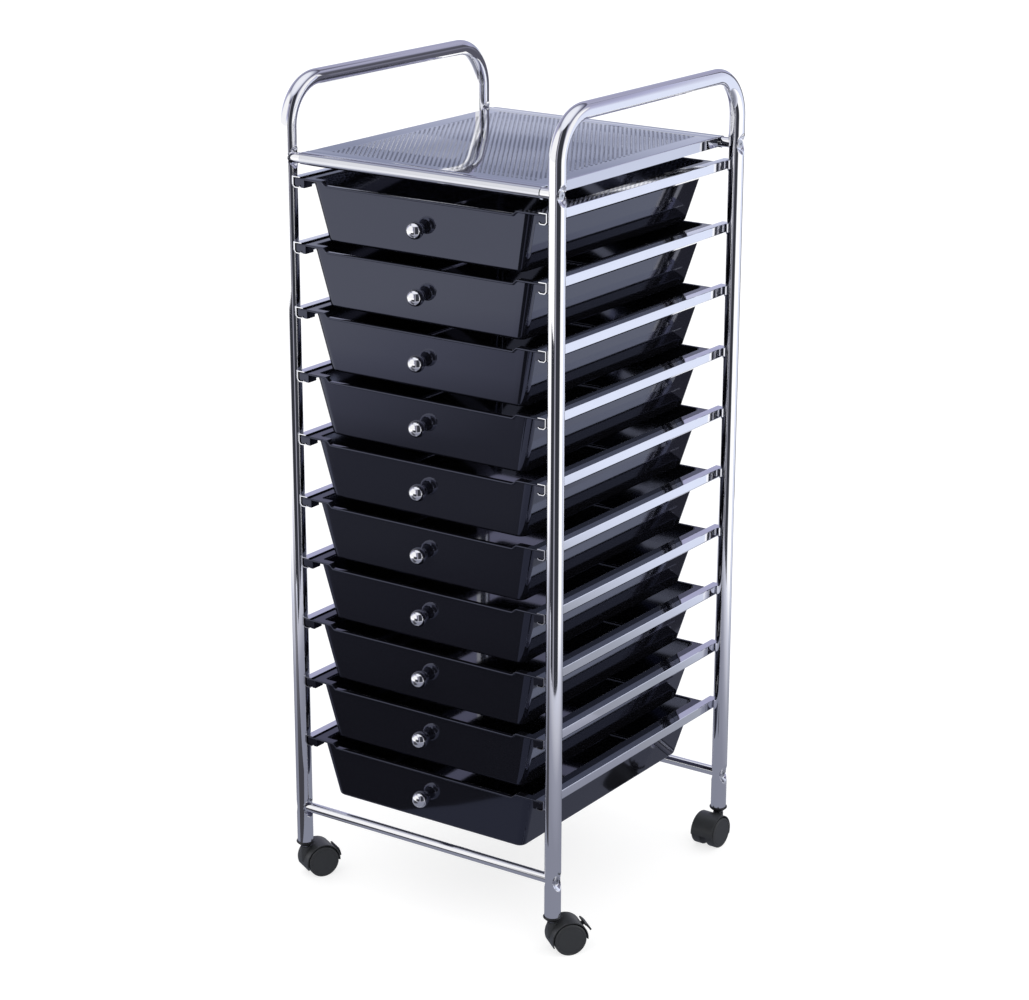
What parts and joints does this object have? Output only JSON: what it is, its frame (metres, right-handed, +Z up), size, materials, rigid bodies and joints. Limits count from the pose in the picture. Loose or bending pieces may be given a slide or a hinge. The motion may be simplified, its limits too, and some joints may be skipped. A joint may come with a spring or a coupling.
{
  "type": "rolling_drawer_cart",
  "caption": "Narrow rolling drawer cart: chromed bent tube side frames, black tapered drawers with chrome ball knobs, a perforated top shelf and twin wheel casters, the front ones with brakes.",
  "frame": {"origin": "centre of the base of the bounding box, on the floor under the cart", "axes": "+Z up, the drawers pull out towards -Y, +X to the right of someone facing the drawers"},
  "size_m": [0.4354, 0.4012, 0.965],
  "materials": {
    "frame_chrome": "bright chrome plating on bent steel tube",
    "runner_chrome": "bright chrome plating on folded steel",
    "shelf_chrome": "slightly satin chrome plating on perforated sheet steel",
    "knob_chrome": "bright chrome plating",
    "screw_steel": "zinc plated",
    "drawer_black": "glossy moulded plastic, smoke black",
    "caster_grey": "matte dark grey moulding",
    "black_plastic": "matte black moulding"
  },
  "bodies": {
    "frame": {"side_frame_left": "frame_chrome", "side_frame_right": "frame_chrome", "runners_left": "runner_chrome", "runners_right": "runner_chrome", "top_cross_tube_front": "frame_chrome", "top_cross_tube_rear": "frame_chrome", "bottom_cross_tube_front": "frame_chrome", "bottom_cross_tube_rear": "frame_chrome", "top_shelf": "shelf_chrome", "frame_screws": "screw_steel", "caster_sockets": "black_plastic", "caster_stems": "screw_steel"},
    "tray_01": {"drawer_01": "drawer_black", "knob_01": "knob_chrome", "knob_screw_01": "screw_steel"},
    "tray_02": {"drawer_02": "drawer_black", "knob_02": "knob_chrome", "knob_screw_02": "screw_steel"},
    "tray_03": {"drawer_03": "drawer_black", "knob_03": "knob_chrome", "knob_screw_03": "screw_steel"},
    "tray_04": {"drawer_04": "drawer_black", "knob_04": "knob_chrome", "knob_screw_04": "screw_steel"},
    "tray_05": {"drawer_05": "drawer_black", "knob_05": "knob_chrome", "knob_screw_05": "screw_steel"},
    "tray_06": {"drawer_06": "drawer_black", "knob_06": "knob_chrome", "knob_screw_06": "screw_steel"},
    "tray_07": {"drawer_07": "drawer_black", "knob_07": "knob_chrome", "knob_screw_07": "screw_steel"},
    "tray_08": {"drawer_08": "drawer_black", "knob_08": "knob_chrome", "knob_screw_08": "screw_steel"},
    "tray_09": {"drawer_09": "drawer_black", "knob_09": "knob_chrome", "knob_screw_09": "screw_steel"},
    "tray_10": {"drawer_10": "drawer_black", "knob_10": "knob_chrome", "knob_screw_10": "screw_steel"},
    "caster_front_left": {"caster_housing_front_left": "caster_grey", "axle_front_left": "screw_steel"},
    "roll_front_left_a": {"wheel_front_left_a": "caster_grey"},
    "roll_front_left_b": {"wheel_front_left_b": "caster_grey"},
    "brake_left": {"brake_lever_left": "black_plastic"},
    "caster_front_right": {"caster_housing_front_right": "caster_grey", "axle_front_right": "screw_steel"},
    "roll_front_right_a": {"wheel_front_right_a": "caster_grey"},
    "roll_front_right_b": {"wheel_front_right_b": "caster_grey"},
    "brake_right": {"brake_lever_right": "black_plastic"},
    "caster_rear_left": {"caster_housing_rear_left": "caster_grey", "axle_rear_left": "screw_steel"},
    "roll_rear_left_a": {"wheel_rear_left_a": "caster_grey"},
    "roll_rear_left_b": {"wheel_rear_left_b": "caster_grey"},
    "caster_rear_right": {"caster_housing_rear_right": "caster_grey", "axle_rear_right": "screw_steel"},
    "roll_rear_right_a": {"wheel_rear_right_a": "caster_grey"},
    "roll_rear_right_b": {"wheel_rear_right_b": "caster_grey"}
  },
  "joints": [
    {"name": "drawer_01_slide", "type": "slide", "parent": "frame", "child": "tray_01", "axis": [0, -1, 0], "range_m": [0, 0.28]},
    {"name": "drawer_02_slide", "type": "slide", "parent": "frame", "child": "tray_02", "axis": [0, -1, 0], "range_m": [0, 0.28]},
    {"name": "drawer_03_slide", "type": "slide", "parent": "frame", "child": "tray_03", "axis": [0, -1, 0], "range_m": [0, 0.28]},
    {"name": "drawer_04_slide", "type": "slide", "parent": "frame", "child": "tray_04", "axis": [0, -1, 0], "range_m": [0, 0.28]},
    {"name": "drawer_05_slide", "type": "slide", "parent": "frame", "child": "tray_05", "axis": [0, -1, 0], "range_m": [0, 0.28]},
    {"name": "drawer_06_slide", "type": "slide", "parent": "frame", "child": "tray_06", "axis": [0, -1, 0], "range_m": [0, 0.28]},
    {"name": "drawer_07_slide", "type": "slide", "parent": "frame", "child": "tray_07", "axis": [0, -1, 0], "range_m": [0, 0.28]},
    {"name": "drawer_08_slide", "type": "slide", "parent": "frame", "child": "tray_08", "axis": [0, -1, 0], "range_m": [0, 0.28]},
    {"name": "drawer_09_slide", "type": "slide", "parent": "frame", "child": "tray_09", "axis": [0, -1, 0], "range_m": [0, 0.28]},
    {"name": "drawer_10_slide", "type": "slide", "parent": "frame", "child": "tray_10", "axis": [0, -1, 0], "range_m": [0, 0.28]},
    {"name": "front_left_swivel", "type": "hinge", "parent": "frame", "child": "caster_front_left", "pos_m": [-0.17618, -0.18247, 0.039], "axis": [0, 0, 1], "continuous": true},
    {"name": "front_left_wheel_a_spin", "type": "hinge", "parent": "caster_front_left", "child": "roll_front_left_a", "pos_m": [-0.1682, -0.16746, 0.019], "axis": [-0.8829, 0.4695, 0], "continuous": true},
    {"name": "front_left_wheel_b_spin", "type": "hinge", "parent": "caster_front_left", "child": "roll_front_left_b", "pos_m": [-0.1682, -0.16746, 0.019], "axis": [-0.8829, 0.4695, 0], "continuous": true},
    {"name": "brake_lever_left_tilt", "type": "hinge", "parent": "caster_front_left", "child": "brake_left", "pos_m": [-0.16247, -0.15669, 0.0285], "axis": [-0.8829, 0.4695, 0], "range_deg": [-24, 0]},
    {"name": "front_right_swivel", "type": "hinge", "parent": "frame", "child": "caster_front_right", "pos_m": [0.18182, -0.18247, 0.039], "axis": [0, 0, 1], "continuous": true},
    {"name": "front_right_wheel_a_spin", "type": "hinge", "parent": "caster_front_right", "child": "roll_front_right_a", "pos_m": [0.19229, -0.16908, 0.019], "axis": [-0.788, 0.6157, 0], "continuous": true},
    {"name": "front_right_wheel_b_spin", "type": "hinge", "parent": "caster_front_right", "child": "roll_front_right_b", "pos_m": [0.19229, -0.16908, 0.019], "axis": [-0.788, 0.6157, 0], "continuous": true},
    {"name": "brake_lever_right_tilt", "type": "hinge", "parent": "caster_front_right", "child": "brake_right", "pos_m": [0.1998, -0.15946, 0.0285], "axis": [-0.788, 0.6157, 0], "range_deg": [0, 24]},
    {"name": "rear_left_swivel", "type": "hinge", "parent": "frame", "child": "caster_rear_left", "pos_m": [-0.17618, 0.18453, 0.039], "axis": [0, 0, 1], "continuous": true},
    {"name": "rear_left_wheel_a_spin", "type": "hinge", "parent": "caster_rear_left", "child": "roll_rear_left_a", "pos_m": [-0.19215, 0.17871, 0.019], "axis": [0.342, -0.9397, 0], "continuous": true},
    {"name": "rear_left_wheel_b_spin", "type": "hinge", "parent": "caster_rear_left", "child": "roll_rear_left_b", "pos_m": [-0.19215, 0.17871, 0.019], "axis": [0.342, -0.9397, 0], "continuous": true},
    {"name": "rear_right_swivel", "type": "hinge", "parent": "frame", "child": "caster_rear_right", "pos_m": [0.18182, 0.18453, 0.039], "axis": [0, 0, 1], "continuous": true},
    {"name": "rear_right_wheel_a_spin", "type": "hinge", "parent": "caster_rear_right", "child": "roll_rear_right_a", "pos_m": [0.18123, 0.16754, 0.019], "axis": [0.9994, -0.0349, 0], "continuous": true},
    {"name": "rear_right_wheel_b_spin", "type": "hinge", "parent": "caster_rear_right", "child": "roll_rear_right_b", "pos_m": [0.18123, 0.16754, 0.019], "axis": [0.9994, -0.0349, 0], "continuous": true}
  ]
}
